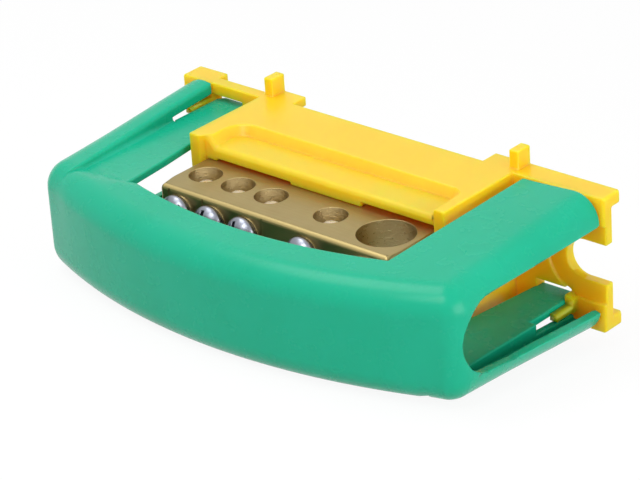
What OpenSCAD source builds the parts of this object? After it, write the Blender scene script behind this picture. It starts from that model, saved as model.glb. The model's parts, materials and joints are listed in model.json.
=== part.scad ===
// Earth terminal block: a yellow support, a brass terminal bar with clamp screws and a green cover that snaps on.
// Millimetres. X runs along the bar, +Y points back to the mounting plane, +Z is up.
// The support and the cover are the same either way up: each is turned half a turn about Y to make its lower half.

/* [Base] */
// Length of the support along the bar
base_l = 87.2; // [82:0.2:100]
// Height of the support without its posts
base_h = 23; // [21.6:0.1:26]
// Thickness of the support's plate
plate_t = 2.3; // [1.8:0.1:3]
// How far the ledges stand out behind the plate
ledge_d = 2.05; // [1.2:0.05:3]
// Thickness of a ledge from top to bottom
ledge_t = 2.25; // [1.6:0.05:2.6]
// Half the width of the notch in the middle of each ledge
notch_half = 19.7; // [15:0.1:22]
// How deep the notch goes in from the back
notch_d = 3.3; // [2.6:0.1:4]
// Length of the tab at the end of a ledge
tab_l = 6.5; // [5:0.1:8]
// Distance of a post from the middle
post_x = 25.4; // [24.4:0.1:27]
// Width of a post along the bar
post_w = 1.8; // [1.4:0.1:2.4]
// Depth of a post from front to back
post_d = 3.2; // [2.6:0.1:4]
// How far the two upper posts sit to the right of even places
post_shift = 0.3; // [0:0.1:0.4]
// Height of a post above its ledge
post_h = 3.1; // [2:0.1:4]

/* [Mounting slots] */
// Width of the open slot at each end
slot_w = 6.7; // [5:0.1:7.5]
// Distance from an end of the support to the slot's round end
slot_in = 4.2; // [3:0.1:5.4]
// Diameter of the seat for the fixing screw's head
seat_d = 13.3; // [11:0.1:13.6]
// Depth of that seat
seat_t = 0.5; // [0.3:0.1:0.8]

/* [Bar holder] */
// How far the holder stands out from the mounting plane
holder_d = 20.5; // [19.5:0.1:21.5]
// Thickness of the holder's top, shelf and back walls
holder_wall = 1.65; // [1.3:0.05:2]
// Thickness of the holder's end walls
holder_end = 2.7; // [2:0.1:3.2]
// How far the end walls stand out in front of the lip
end_out = 0.75; // [0.4:0.05:1]
// Thickness of the shelf that the bar lies on
shelf_t = 1; // [0.8:0.1:1.6]
// How far the bar goes into the holder
bar_in = 5; // [4:0.1:6]
// Air between the bar and the lip above it
lip_gap = 0.9; // [0.5:0.05:1.2]
// Width of the middle pad that holds the bar down
pad_w = 14.6; // [8:0.1:18]
// Offset of that pad from the middle
pad_x = 1.75; // [-2:0.05:3]
// Width of the pad at the seat's left end
end_pad_w = 2.3; // [1.6:0.1:3]
// Clearance round the bar in its holder
bar_clear = 0.1; // [0.05:0.05:0.2]
// Depth of the marking recess in the holder's top
recess_t = 1.6; // [0.8:0.05:1.6]
// How far the marking recess runs back from the front of the holder
recess_d = 7.1; // [5:0.1:9]
// Rim left at the left end of the marking recess
recess_left = 3.8; // [3:0.1:6]
// Rim left at the right end of the marking recess
recess_right = 2; // [1.6:0.1:6]
// Radius of the marking recess's left rear corner
recess_r = 3.4; // [2.4:0.1:4.5]
// Radius of its right rear corner
recess_r2 = 2.2; // [2:0.1:3.4]

/* [Terminal bar] */
// Length of the brass bar
bar_l = 47; // [45.6:0.1:48]
// Depth of the bar from front to back
bar_d = 16; // [15:0.1:17]
// Height of the bar
bar_h = 6.8; // [6.6:0.1:7.2]
// Radius of the bar's long front edges
bar_r = 0.7; // [0.3:0.1:1]
// Distance between neighbouring small wire holes
pitch = 7; // [6.8:0.05:7.2]
// Distance from the bar's left end to the first wire hole
first_in = 4; // [3.9:0.1:4.4]
// Distance from the fourth wire hole to the large one
last_gap = 11.15; // [10.8:0.05:11.6]
// Distance from the large wire hole to the bar's right end
last_in = 5.55; // [5.4:0.05:6]
// Distance from the bar's front to the wire holes
hole_in = 6.5; // [6.4:0.1:6.8]
// Diameter of a small wire hole
small_hole = 5.5; // [5:0.1:5.7]
// Diameter of the large wire hole
large_hole = 9.4; // [8.8:0.1:9.6]

/* [Clamp screws] */
// Thread diameter of a small clamp screw
small_thread = 4.8; // [4.4:0.1:5]
// Head diameter of a small clamp screw
small_head = 5.7; // [5.5:0.1:5.9]
// Thread diameter of the headless screw at the large wire hole
large_thread = 4.2; // [4:0.1:4.4]
// Length of that headless screw
large_l = 5; // [4:0.1:6]
// Height of a screw head's straight side
head_t = 0.6; // [0.5:0.1:0.8]
// Rise of a screw head's dome
dome_t = 1.7; // [1.4:0.1:1.8]
// How far a small screw's tip reaches into its wire hole
tip_in = 4.05; // [3.6:0.05:4.4]
// Gap between a screw head and the bar's front
head_gap = 0.5; // [0.45:0.05:0.7]
// How far the screws sit below the bar's middle
screw_drop = 0.3; // [0:0.05:0.4]
// Running clearance round a screw's thread
thread_clear = 0.05; // [0.03:0.01:0.08]
// Width of the cross recess in a screw head
cross_w = 0.9; // [0.7:0.1:1.1]
// Depth of the cross recess
cross_t = 1.3; // [0.9:0.1:1.5]

/* [Cover] */
// Length of the cover along the bar
cover_l = 85.6; // [84:0.2:86.4]
// How far the cover stands out from the mounting plane
cover_d = 48.3; // [46:0.1:52]
// Height of the cover where it meets the support
cover_h = 23; // [22.6:0.1:23.4]
// How much lower the cover is at its front
cover_draft = 5.1; // [4.4:0.1:5.4]
// How much higher the cover's right end sits at the front than its left end
cover_skew = 0.5; // [0:0.1:0.6]
// How much further each end of the cover stands out at the back
cover_flare = 0.2; // [0:0.05:0.3]
// Radius of the bowed front in plan
front_r = 102; // [95:1:120]
// Radius of the cover's outer edges
edge_r = 4.5; // [4:0.1:5]
// Wall of the cover
wall = 1.3; // [1.1:0.05:1.5]
// Gap between the cover and the support's plate
seam = 0.15; // [0.05:0.05:0.3]
// Width of the flange in front of a wire window
flange_w = 8.8; // [8:0.1:9.4]
// Distance from the middle to a wire window's plain side, at its front
window_front = 26.9; // [26.5:0.1:27.4]
// Distance from the middle to that side at its back
window_back = 28.7; // [28.2:0.1:29.2]

/* [Snap tongue] */
// Height of a tongue's outer face above the middle
tongue_z = 8.4; // [8.2:0.05:8.6]
// Thickness of a tongue
tongue_t = 1.3; // [1.1:0.05:1.4]
// Distance from the middle to a tongue's outer side
split_x = 36.6; // [36.4:0.05:37]
// Distance from the mounting plane to where a tongue parts from the strip beside it
split_d = 14.2; // [12:0.1:16]
// Distance from the middle to a tongue's inner side at its front
tongue_front = 25.5; // [25:0.1:26]
// Distance from the middle to a tongue's inner side at its back
tongue_x = 30.5; // [30:0.1:30.8]
// How far a tongue's end stays from the mounting plane
tongue_end = 2.4; // [2.2:0.1:2.8]
// Clearance round a tongue in the plate
tongue_clear = 0.2; // [0.15:0.05:0.3]
// Width of the guide post beside a tongue
guide_w = 1.6; // [1.5:0.1:2.4]
// Width of the guide post's foot
foot_w = 1.4; // [1:0.1:1.6]
// How far the guide post stands out from the plate
guide_d = 1.3; // [1:0.1:2]
// How far the foot stands out from the plate
foot_d = 5.2; // [4:0.1:6]
// Height of the guide post
guide_h = 3.4; // [3:0.1:4.4]
// Height of its foot
foot_h = 1.1; // [0.8:0.1:1.6]

/* [End openings] */
// Upper edge of an end opening above the middle
end_top = 6.9; // [6.4:0.1:7.1]
// Lower edge of an end opening at its front
end_low = 5.4; // [5:0.1:5.8]
// Lower edge of an end opening at its back
end_flare = 9; // [8.6:0.1:9.2]
// Distance from the mounting plane to an end opening's round front
end_d = 37.6; // [36:0.1:38.2]

/* [View] */
// Which sub-part to draw

/* [Hidden] */
eps = 0.01;
plate_front = -ledge_d - plate_t;
top_z = base_h / 2;
bar_back = -holder_d + bar_in;
bar_front = bar_back - bar_d;
bar_z = shelf_t / 2;
bar_top = bar_z + bar_h;
holder_half = bar_l / 2 + bar_clear + holder_end;
seat_back = bar_back + bar_clear;
lip_z = bar_top + lip_gap;
hole_y = bar_front + hole_in;
first_x = -bar_l / 2 + first_in;
large_x = bar_l / 2 - last_in;
small_x = [first_x, first_x + pitch, first_x + 2 * pitch, large_x - last_gap];
screw_z = bar_z + bar_h / 2 - screw_drop;
slot_x = base_l / 2 - slot_in;
cover_back = plate_front - seam;
rear_z = cover_h / 2;
front_z = rear_z - cover_draft / 2;
cover_slope = cover_draft / 2 / cover_d;
front_y = -cover_d + front_r;
window_y = -cover_d + flange_w;
end_r = (end_top + end_low) / 2;
end_mid = (end_top - end_low) / 2;
$fn = 48;

// Draws its children in the row's frame, whose origin is the middle of the whole part.
module in_frame() translate([0, cover_d / 2, 0]) children();

// Draws its children twice, the second time half a turn about Y.
module both_ways() {
    children();
    rotate([0, 180, 0]) children();
}

// A box from its lowest corner to its highest corner.
module block(low, high) translate(low) cube(high - low);

// A profile drawn in Y and Z, pushed along X from x0 to x1.
module along_x(x0, x1) translate([x0, 0, 0]) rotate([90, 0, 90]) linear_extrude(x1 - x0) children();

// The upper half of the support's ledges and posts.
module ledges() {
    low = top_z - ledge_t;
    joint = -ledge_d - plate_t / 2;
    block([-base_l / 2, joint, low], [-base_l / 2 + tab_l, 0, top_z]);
    block([-post_x + post_shift - post_w / 2, joint, low], [-notch_half, 0, top_z]);
    block([notch_half, joint, low], [base_l / 2, 0, top_z]);
    for (side = [-1, 1])
        translate([side * post_x + post_shift, 0, 0])
            block([-post_w / 2, -post_d, low], [post_w / 2, 0, top_z + post_h]);
}

// The recess for a marking strip in the holder's top, with round rear corners and a sloping back wall.
module marking_recess() {
    back = -holder_d + recess_d;
    ends = [-holder_half + recess_left, holder_half - recess_right];
    translate([0, 0, top_z - recess_t]) hull() for (i = [0, 1]) {
        in = 1 - 2 * i;
        r = [recess_r, recess_r2][i];
        translate([ends[i] + in * r, back - r, 0]) cylinder(r = r - 1.1, h = eps);
        translate([ends[i] + in * r, back - r, recess_t]) cylinder(r = r, h = 1);
        translate([ends[i] + in * 2, -holder_d - 1, 0]) cylinder(r = 0.9, h = eps);
        translate([ends[i] + in * 2, -holder_d - 1, recess_t]) cylinder(r = 2, h = 1);
    }
}

// The seat for one bar: open to the front, with two pads left on its roof.
module bar_seat() {
    half = bar_l / 2 + bar_clear;
    difference() {
        block([-half, -holder_d - 1, bar_z], [half, seat_back, lip_z]);
        for (x = [[pad_x - pad_w / 2, pad_x + pad_w / 2], [-half - 1, -half + end_pad_w]])
            block([x[0], -holder_d - 2, bar_top + bar_clear], [x[1], seat_back + 1, lip_z + 1]);
    }
}

// The front of an end wall, as a plan at the right end: its inner side slants back to the lip.
module end_front() polygon([[holder_half, -holder_d + 1], [holder_half, -holder_d - end_out],
    [holder_half - holder_end + end_out, -holder_d - end_out], [holder_half - holder_end, -holder_d], [holder_half - holder_end, -holder_d + 1]]);

// The window in the plate for a tongue.
module tongue_window() {
    block([-split_x - tongue_clear, plate_front - 1, tongue_z - tongue_t - 1.4],
        [-tongue_x + tongue_clear, 1, top_z - ledge_t + 0.15]);
}

// The post that guides a tongue from its outer side, with a foot that reaches further out.
module guide_post() {
    side = -split_x - tongue_clear;
    high = tongue_z + 0.4;
    block([side - guide_w, plate_front - guide_d, high - guide_h], [side, plate_front + 1, high]);
    block([side - foot_w, plate_front - foot_d, high - foot_h], [side, plate_front + 1, high]);
}

// The open slot at one end for a fixing screw, with the seat for the screw's head.
module end_slot() {
    translate([slot_x, 0, 0]) rotate([90, 0, 0]) {
        translate([0, 0, -1]) cylinder(d = slot_w, h = 10);
        translate([0, 0, -plate_front - seat_t]) cylinder(d = seat_d, h = 4);
    }
    block([slot_x, plate_front - 1, -slot_w / 2], [base_l / 2 + 1, 1, slot_w / 2]);
    block([slot_x, plate_front - 4, -seat_d / 2], [base_l / 2 + 1, plate_front + seat_t, seat_d / 2]);
}

module base() {
    core_back = max(seat_back, -holder_d + recess_d) + holder_wall;
    core_half = holder_half - holder_wall;
    color([0.98, 0.80, 0.16]) in_frame() difference() {
        union() {
            block([-base_l / 2, plate_front, -top_z], [base_l / 2, -ledge_d, top_z]);
            block([-holder_half, -holder_d, -top_z], [holder_half, -ledge_d - eps, top_z]);
            both_ways() {
                translate([0, 0, -top_z]) linear_extrude(base_h) end_front();
                ledges();
                guide_post();
            }
        }
        both_ways() {
            block([-notch_half, -notch_d, top_z - ledge_t - 1], [notch_half, 1, top_z + 1]);
            marking_recess();
            bar_seat();
            tongue_window();
            end_slot();
            block([-core_half, core_back, shelf_t], [core_half, 1, top_z - holder_wall]);
        }
    }
}

// The cover's closed form, moved in by the given amount: a bowed front, ball corners and a slight draft.
module cover_form(inset) {
    r = edge_r - inset;
    bow = front_r - edge_r;
    x_end = cover_l / 2 - edge_r;
    lift = cover_skew / 2 / x_end;
    hull() for (up = [-1, 1]) {
        for (i = [-5:5]) {
            x = x_end * i / 5;
            y = front_y - sqrt(bow * bow - x * x);
            translate([x, y, up * (rear_z - edge_r + cover_slope * y) + lift * x])
                rotate([0, 90, 0]) sphere(r = r, $fn = 32);
        }
        for (side = [-1, 1]) translate([side * (x_end + cover_flare), 0, up * (rear_z - edge_r)])
            rotate([90, 0, 0]) cylinder(r = r, h = eps, $fn = 32);
    }
}

// The wire window in the cover's upper flange, as a plan: its front edge keeps the front's bow.
module window_plan() {
    intersection() {
        translate([0, front_y]) circle(r = front_r - flange_w, $fn = 180);
        polygon([[-tongue_front, window_y - 1], [window_front, window_y - 1], [window_back, 1], [-tongue_x, 1]]);
    }
}

// The sunken field over a tongue: open to the back, with a soft ramp at its front.
module tongue_field() {
    span = split_x - 20;
    hull() {
        translate([-split_x, -split_d, tongue_z]) cube([span, split_d + 5, 20]);
        translate([-split_x + 0.6, window_y + 5, tongue_z]) cube([span - 0.6, 1, 20]);
        translate([-split_x + 1.6, window_y - 2, front_z]) cube([span - 8.6, 1, 20]);
    }
}

// One tongue, and the sunken plate and riser that join it to the strip beside it.
module tongue() {
    low = tongue_z - tongue_t;
    difference() {
        intersection() {
            cover_form(wall / 4);
            block([-split_x - wall, window_y - 2.5, low], [-tongue_front + 1, -split_d, 30]);
        }
        tongue_field();
    }
    hull() {
        block([-split_x, -split_d - 2, low], [-20, -split_d - 1, tongue_z]);
        block([-split_x, -tongue_end - 2.4, low], [-tongue_x, -tongue_end - 1.4, tongue_z]);
        block([-split_x + 1, -tongue_end - 1, low], [-tongue_x, -tongue_end, tongue_z]);
    }
}

// The opening at the right end: a round front, and edges that run out to the back.
module end_opening() {
    mid = -end_d + end_r;
    along_x(cover_l / 2 - edge_r + 0.1, cover_l) union() {
        translate([mid, end_mid]) circle(r = end_r);
        polygon([[mid, end_top], [5, end_top], [5, -end_flare], [mid, -end_low]]);
    }
}

module cover() {
    color([0.16, 0.68, 0.52]) in_frame() difference() {
        union() {
            difference() {
                cover_form(0);
                cover_form(wall);
                both_ways() tongue_field();
                translate([-60, cover_back, -30]) cube([120, 60, 60]);
            }
            both_ways() tongue();
        }
        both_ways() {
            linear_extrude(30) window_plan();
            end_opening();
        }
    }
}

// The bar's section in Y and Z: square at the back, its long front edges rounded.
module bar_profile() hull() {
    for (z = [bar_z + bar_r, bar_top - bar_r]) translate([bar_front + bar_r, z]) circle(r = bar_r);
    translate([bar_back - 1, bar_z]) square([1, bar_h]);
}

module terminal_bar() {
    color([0.72, 0.62, 0.36]) in_frame() difference() {
        along_x(-bar_l / 2, bar_l / 2) bar_profile();
        for (x = small_x) translate([x, 0, 0]) {
            translate([0, hole_y, 0]) cylinder(d = small_hole, h = bar_top + 1);
            translate([0, bar_front - 1, screw_z]) rotate([-90, 0, 0])
                cylinder(d = small_thread + 2 * thread_clear, h = hole_in + 1);
        }
        translate([large_x, 0, 0]) {
            translate([0, hole_y, 0]) cylinder(d = large_hole, h = bar_top + 1);
            translate([0, bar_front - 1, screw_z]) rotate([-90, 0, 0])
                cylinder(d = large_thread + 2 * thread_clear, h = hole_in + 1);
        }
    }
}

// Two crossed slots of the given length, cut down from the XY plane.
module cross_recess(length) for (turn = [20, 110]) rotate([0, 0, turn])
    translate([-length / 2, -cross_w / 2, -cross_t]) cube([length, cross_w, cross_t + 1]);

// A clamp screw along Y: a plain shank for its thread, a blunt tip, and a domed head with a cross recess.
module small_clamp_screw() {
    under = bar_front - head_gap;
    shank = bar_front + hole_in - small_hole / 2 + tip_in - under;
    ball = (small_head * small_head / 4 + dome_t * dome_t) / (2 * dome_t);
    translate([0, under, screw_z]) rotate([90, 0, 0]) {
        translate([0, 0, -shank + 0.3]) cylinder(d = small_thread, h = shank - 0.3 + eps);
        translate([0, 0, -shank]) cylinder(d1 = small_thread - 0.8, d2 = small_thread, h = 0.3);
        difference() {
            intersection() {
                cylinder(d = small_head, h = head_t + dome_t);
                translate([0, 0, head_t + dome_t - ball]) sphere(r = ball);
            }
            translate([0, 0, head_t + dome_t]) cross_recess(small_head * 0.74);
        }
    }
}

// One of the four small clamp screws, counted from the left.
module small_screw(i) color([0.78, 0.79, 0.80]) in_frame() translate([small_x[i], 0, 0]) small_clamp_screw();

// The headless screw at the large wire hole: its tip stays just outside the hole.
module large_screw() {
    color([0.78, 0.79, 0.80]) in_frame() translate([large_x, hole_y - large_hole / 2, screw_z]) rotate([90, 0, 0])
        difference() {
            union() {
                cylinder(d1 = large_thread - 1, d2 = large_thread, h = 0.5);
                translate([0, 0, 0.5 - eps]) cylinder(d = large_thread, h = large_l - 0.5 + eps);
            }
            translate([0, 0, large_l]) cross_recess(large_thread * 0.7);
        }
}

base();
cover();
terminal_bar();
small_screw(0);  // small_screw_1
small_screw(1);  // small_screw_2
small_screw(2);  // small_screw_3
small_screw(3);  // small_screw_4
large_screw();
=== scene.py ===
# %% [markdown]
# # An earth terminal block
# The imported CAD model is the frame: it says where every piece is, in metres.
# This lesson builds the looks around it, piece by piece, and leaves the frame where it is.
# Sizes are written in millimetres, measured from the middle of the mounting plane behind the block.

# %% Load the frame
import json
import math

import bmesh
import bpy
from mathutils import Matrix, Vector

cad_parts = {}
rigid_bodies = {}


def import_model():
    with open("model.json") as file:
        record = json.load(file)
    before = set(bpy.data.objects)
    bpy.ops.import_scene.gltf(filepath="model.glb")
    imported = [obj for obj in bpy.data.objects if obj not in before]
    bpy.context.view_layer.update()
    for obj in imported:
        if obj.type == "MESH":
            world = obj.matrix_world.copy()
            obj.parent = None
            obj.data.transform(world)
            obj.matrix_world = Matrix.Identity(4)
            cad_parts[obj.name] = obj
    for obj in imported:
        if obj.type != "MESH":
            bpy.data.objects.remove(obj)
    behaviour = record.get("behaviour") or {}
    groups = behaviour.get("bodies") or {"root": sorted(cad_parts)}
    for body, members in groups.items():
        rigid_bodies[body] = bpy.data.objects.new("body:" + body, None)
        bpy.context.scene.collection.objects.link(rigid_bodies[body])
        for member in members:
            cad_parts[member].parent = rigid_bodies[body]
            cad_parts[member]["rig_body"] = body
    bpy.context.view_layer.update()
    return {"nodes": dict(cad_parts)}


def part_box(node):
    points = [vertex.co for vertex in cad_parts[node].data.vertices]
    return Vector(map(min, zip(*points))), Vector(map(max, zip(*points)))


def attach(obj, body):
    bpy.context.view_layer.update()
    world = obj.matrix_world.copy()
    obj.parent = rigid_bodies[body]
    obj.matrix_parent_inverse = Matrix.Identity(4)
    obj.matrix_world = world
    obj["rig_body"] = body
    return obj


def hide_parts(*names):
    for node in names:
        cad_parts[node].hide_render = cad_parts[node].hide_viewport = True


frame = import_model()
scene = bpy.context.scene
scene.view_settings.view_transform = "Standard"
MM = 0.001
mounting_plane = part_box("base")[1].y


def at(x, y, z):
    """A point in millimetres: x along the bar, y back from the mounting plane, z up from the middle."""
    return Vector((x * MM, mounting_plane + y * MM, z * MM))


# %% [markdown]
# ## The camera
# The photograph was taken from about half a metre away with a long lens, so parallel edges stay nearly
# parallel. The camera could be placed by eye; here its angles come from fitting the wire holes and the
# straight edges. The block leans forward on its posts, which a level camera sees as a small roll.

# %% Camera
IMAGE_WIDTH, FOCAL_PIXELS, SENSOR = 640, 3000, 36
AZIMUTH, ELEVATION, ROLL = (math.radians(angle) for angle in (42.592, 26.445, 3.875))
AIM_POINT, CAMERA_REACH = at(-7.941, -11.792, -6.649), 485.94 * MM

forward = Vector((-math.sin(AZIMUTH) * math.cos(ELEVATION), math.cos(AZIMUTH) * math.cos(ELEVATION),
                  -math.sin(ELEVATION)))
level = Vector((math.cos(AZIMUTH), math.sin(AZIMUTH), 0))
below = forward.cross(level)
image_right = math.cos(ROLL) * level + math.sin(ROLL) * below
image_down = math.cos(ROLL) * below - math.sin(ROLL) * level

camera_data = bpy.data.cameras.new("camera")
camera_data.sensor_width = SENSOR
camera_data.lens = FOCAL_PIXELS * SENSOR / IMAGE_WIDTH
camera = bpy.data.objects.new("camera", camera_data)
camera.matrix_world = Matrix((image_right, -image_down, -forward)).transposed().to_4x4()
camera.location = AIM_POINT - forward * CAMERA_REACH
scene.collection.objects.link(camera)
scene.camera = camera
print("camera at", [round(v, 3) for v in camera.location], "lens", round(camera_data.lens, 1))

# %% [markdown]
# ## Helpers for shader nodes
# Every finish below is a small graph of nodes. A few helpers keep the graphs short to read: they add a node
# and fill its sockets, start a group or a material, and write a screen colour as the linear value Blender
# wants.


# %% Node helpers
def fill(tree, node, sockets):
    """Fills a node's sockets with values, or links them to other nodes' outputs."""
    for name, value in sockets.items():
        if isinstance(value, bpy.types.NodeSocket):
            tree.links.new(value, node.inputs[name])
        else:
            node.inputs[name].default_value = value


def add(tree, kind, sockets=None, **settings):
    """Adds a node, sets its properties and fills its sockets."""
    made = tree.nodes.new(kind)
    for name, value in settings.items():
        setattr(made, name, value)
    fill(tree, made, sockets or {})
    return made


def screen_colour(red, green, blue):
    """A colour as a screen shows it, 0 to 255, turned into Blender's linear colour by the sRGB curve."""
    shown = (red / 255, green / 255, blue / 255)
    linear = [c / 12.92 if c <= 0.04045 else ((c + 0.055) / 1.055) ** 2.4 for c in shown]
    return (*linear, 1.0)


def new_group(name, inputs, outputs):
    """An empty shader node group with named sockets, and its two end nodes."""
    group = bpy.data.node_groups.new(name, "ShaderNodeTree")
    for socket, (kind, value) in inputs.items():
        group.interface.new_socket(socket, in_out="INPUT", socket_type=kind).default_value = value
    for socket, kind in outputs.items():
        group.interface.new_socket(socket, in_out="OUTPUT", socket_type=kind)
    return group, group.nodes.new("NodeGroupInput"), group.nodes.new("NodeGroupOutput")


def new_material(name):
    """A material with its Principled shader, ready to be wired."""
    material = bpy.data.materials.new(name)
    material.use_nodes = True
    tree = material.node_tree
    return material, tree, tree.nodes["Principled BSDF"]


print("screen grey 128 is", round(screen_colour(128, 128, 128)[0], 3), "in linear light")

# %% [markdown]
# ## The floor
# The block was photographed on white paper, standing on two posts and on the cover's front edge. Turning
# the block would stand it there too, but the frame stays put, so the floor is tilted under it until it
# touches both. A white background could be had with more light, but that would wash out the block. Instead
# most of the paper's colour is a glow for rays that look at it, and the rest still takes the shadow.

# %% Floor
POST_FOOT, FLOOR_TILT, FLOOR_HALF = at(0, -3.7, -14.6), math.atan(0.1325), 2.5
PAPER_GREY, PAPER_GLOW, GLOW_SHARE = 0.66, 1.04, 0.88
WHITE = (1, 1, 1, 1)


def link_object(shape, name):
    """Turns a bmesh into an object at the origin."""
    mesh = bpy.data.meshes.new(name)
    shape.to_mesh(mesh)
    shape.free()
    made = bpy.data.objects.new(name, mesh)
    scene.collection.objects.link(made)
    return made


def looked_at(tree):
    """1 for a ray that sees a surface, directly, mirrored or through glass, and 0 for all others."""
    path = add(tree, "ShaderNodeLightPath").outputs
    seen = path["Is Camera Ray"]
    for kind in ("Is Glossy Ray", "Is Transmission Ray"):
        seen = add(tree, "ShaderNodeMath", {0: seen, 1: path[kind]}, operation="MAXIMUM").outputs[0]
    return seen


floor_shape = bmesh.new()
bmesh.ops.create_grid(floor_shape, x_segments=1, y_segments=1, size=FLOOR_HALF)
tilt = Matrix.Rotation(-FLOOR_TILT, 3, "X")
bmesh.ops.rotate(floor_shape, verts=floor_shape.verts, cent=(0, 0, 0), matrix=tilt)
bmesh.ops.translate(floor_shape, verts=floor_shape.verts, vec=POST_FOOT)
floor = link_object(floor_shape, "floor")

floor_paper, tree, shader = new_material("floor_paper")
grey = (PAPER_GREY, PAPER_GREY, PAPER_GREY, 1)
fill(tree, shader, {"Base Color": grey, "Roughness": 0.9, "Specular IOR Level": 0.1})
share = add(tree, "ShaderNodeMath", {0: looked_at(tree), 1: GLOW_SHARE}, operation="MULTIPLY")
glow = add(tree, "ShaderNodeEmission", {"Color": WHITE, "Strength": PAPER_GLOW})
paper = add(tree, "ShaderNodeMixShader", {0: share.outputs[0], 1: shader.outputs[0], 2: glow.outputs[0]})
fill(tree, tree.nodes["Material Output"], {"Surface": paper.outputs[0]})
floor.data.materials.append(floor_paper)
print("floor tilted by", round(math.degrees(FLOOR_TILT), 2), "degrees")

# %% [markdown]
# ## World and lamps
# The photograph's light looks like that of a white tent with soft boxes above, in front and to the right.
# The world is the tent: full white where it is seen or mirrored, dimmer as a light, so that shadows keep
# depth. Three area lamps are the soft boxes. They could be many and small, but few and large ones leave the
# long soft highlights that glossy plastic shows.

# %% World and lamps
TENT_LIGHT, TENT_SEEN = 0.62, 1.0
block_middle = at(0, -24, 0)

world = bpy.data.worlds.new("light_tent")
world.use_nodes = True
scene.world = world
tree = world.node_tree
tent_level = add(tree, "ShaderNodeMapRange",
                 {"Value": looked_at(tree), "To Min": TENT_LIGHT, "To Max": TENT_SEEN})
fill(tree, tree.nodes["Background"], {"Color": WHITE, "Strength": tent_level.outputs[0]})


def soft_box(name, place, width, height, watts):
    """A rectangular area lamp at a place, turned to the block."""
    data = bpy.data.lights.new(name, "AREA")
    data.shape = "RECTANGLE"
    data.size, data.size_y, data.energy = width * MM, height * MM, watts
    lamp = bpy.data.objects.new(name, data)
    lamp.location = place
    lamp.rotation_euler = (block_middle - place).to_track_quat("-Z", "Y").to_euler()
    scene.collection.objects.link(lamp)
    print(name, "of", watts, "W,", round((block_middle - place).length, 2), "m away")


soft_box("top_soft_box", at(-105, -60, 330), width=220, height=160, watts=0.45)
soft_box("front_soft_box", at(60, -220, 290), width=140, height=140, watts=0.35)
soft_box("right_fill", at(360, -40, 60), width=240, height=240, watts=0.75)

# %% [markdown]
# ## Moulded plastic
# Both plastic pieces come out of polished steel moulds. Up close such a skin is never quite even:
# the melt leaves faint clouds of colour, the polish varies, and the surface has a fine ripple.
# Support and cover share this, so it is one node group with its own values in each material.
# A noise's scale counts its features in a metre.

# %% Moulded skin group
CLOUD_SCALE, POLISH_SCALE, RIPPLE_SCALE = 90.0, 320.0, 900.0
POLISH_SPREAD = 0.03

skin, entry, leave = new_group(
    "moulded_skin",
    {"Colour": ("NodeSocketColor", WHITE), "Cloud": ("NodeSocketColor", (0.9, 0.9, 0.9, 1)),
     "Gloss": ("NodeSocketFloat", 0.3)},
    {"Colour": "NodeSocketColor", "Roughness": "NodeSocketFloat", "Height": "NodeSocketFloat"})
place = add(skin, "ShaderNodeTexCoord").outputs["Object"]
clouds = add(skin, "ShaderNodeTexNoise", {"Vector": place, "Scale": CLOUD_SCALE, "Detail": 3.0})
flow = add(skin, "ShaderNodeMapRange", {"Value": clouds.outputs["Fac"], "From Min": 0.2, "From Max": 0.8},
           interpolation_type="SMOOTHSTEP")
mixed = add(skin, "ShaderNodeMix", {"Factor": flow.outputs[0], "A": entry.outputs["Colour"],
                                    "B": entry.outputs["Cloud"]}, data_type="RGBA")
polish = add(skin, "ShaderNodeTexNoise", {"Vector": place, "Scale": POLISH_SCALE, "Detail": 4.0})
spread = add(skin, "ShaderNodeMapRange",
             {"Value": polish.outputs["Fac"], "To Min": -POLISH_SPREAD, "To Max": POLISH_SPREAD})
rough = add(skin, "ShaderNodeMath", {0: spread.outputs[0], 1: entry.outputs["Gloss"]}, operation="ADD")
ripple = add(skin, "ShaderNodeTexNoise", {"Vector": place, "Scale": RIPPLE_SCALE, "Detail": 2.0})
fill(skin, leave, {"Colour": mixed.outputs["Result"], "Roughness": rough.outputs[0],
                   "Height": ripple.outputs["Fac"]})
print("group", skin.name, "with", len(skin.nodes), "nodes")

# %% [markdown]
# The green cover is glossy and nearly opaque. The yellow support is more satin, and light runs some way
# through it, which keeps its shaded sides warm. Subsurface scattering carries that light, furthest in the
# plastic's own colour.

# %% Green and yellow plastic
RIPPLE_MM, SCATTER_PER_MM = 0.0015, 0.2


def moulded_plastic(name, colour, cloud, gloss, shine, glow, depth_mm):
    """A moulded plastic from the shared skin, with some light carried through its thin walls."""
    material, tree, shader = new_material(name)
    look = {"Colour": screen_colour(*colour), "Cloud": screen_colour(*cloud), "Gloss": gloss}
    surface = add(tree, "ShaderNodeGroup", look, node_tree=skin)
    bump = add(tree, "ShaderNodeBump",
               {"Height": surface.outputs["Height"], "Distance": RIPPLE_MM * MM, "Strength": 1.0})
    fill(tree, shader, {
        "Base Color": surface.outputs["Colour"], "Roughness": surface.outputs["Roughness"],
        "Normal": bump.outputs["Normal"], "Specular IOR Level": shine, "Subsurface Radius": glow,
        "Subsurface Weight": min(SCATTER_PER_MM * depth_mm, 1.0), "Subsurface Scale": depth_mm * MM})
    print(name, [round(c, 3) for c in screen_colour(*colour)[:3]])
    return material


green_plastic = moulded_plastic(
    "moulded_green", colour=(22, 172, 136), cloud=(18, 168, 131), gloss=0.27, shine=0.2,
    glow=(0.2, 1.0, 0.6), depth_mm=1.5)
yellow_plastic = moulded_plastic(
    "moulded_yellow", colour=(252, 197, 32), cloud=(249, 193, 26), gloss=0.34, shine=0.35,
    glow=(1.0, 0.5, 0.1), depth_mm=6.5)

# %% [markdown]
# ## Drawn brass and plated steel
# The bar is cut from drawn brass: fine lines run along it, with faint tarnish. The drill has left coarser
# rings in its holes, and their walls are painted lighter, painted light against the shade in them. The
# screws are plated, and their shanks are painted near white, a painted highlight where their tips show in
# the wire holes. All of them need fine scratches, which could be drawn one by one; stretched noise gives
# thousands at once, so one group makes them for every metal.

# %% Fine scratches group
STAIN_SCALE = 260.0

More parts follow.
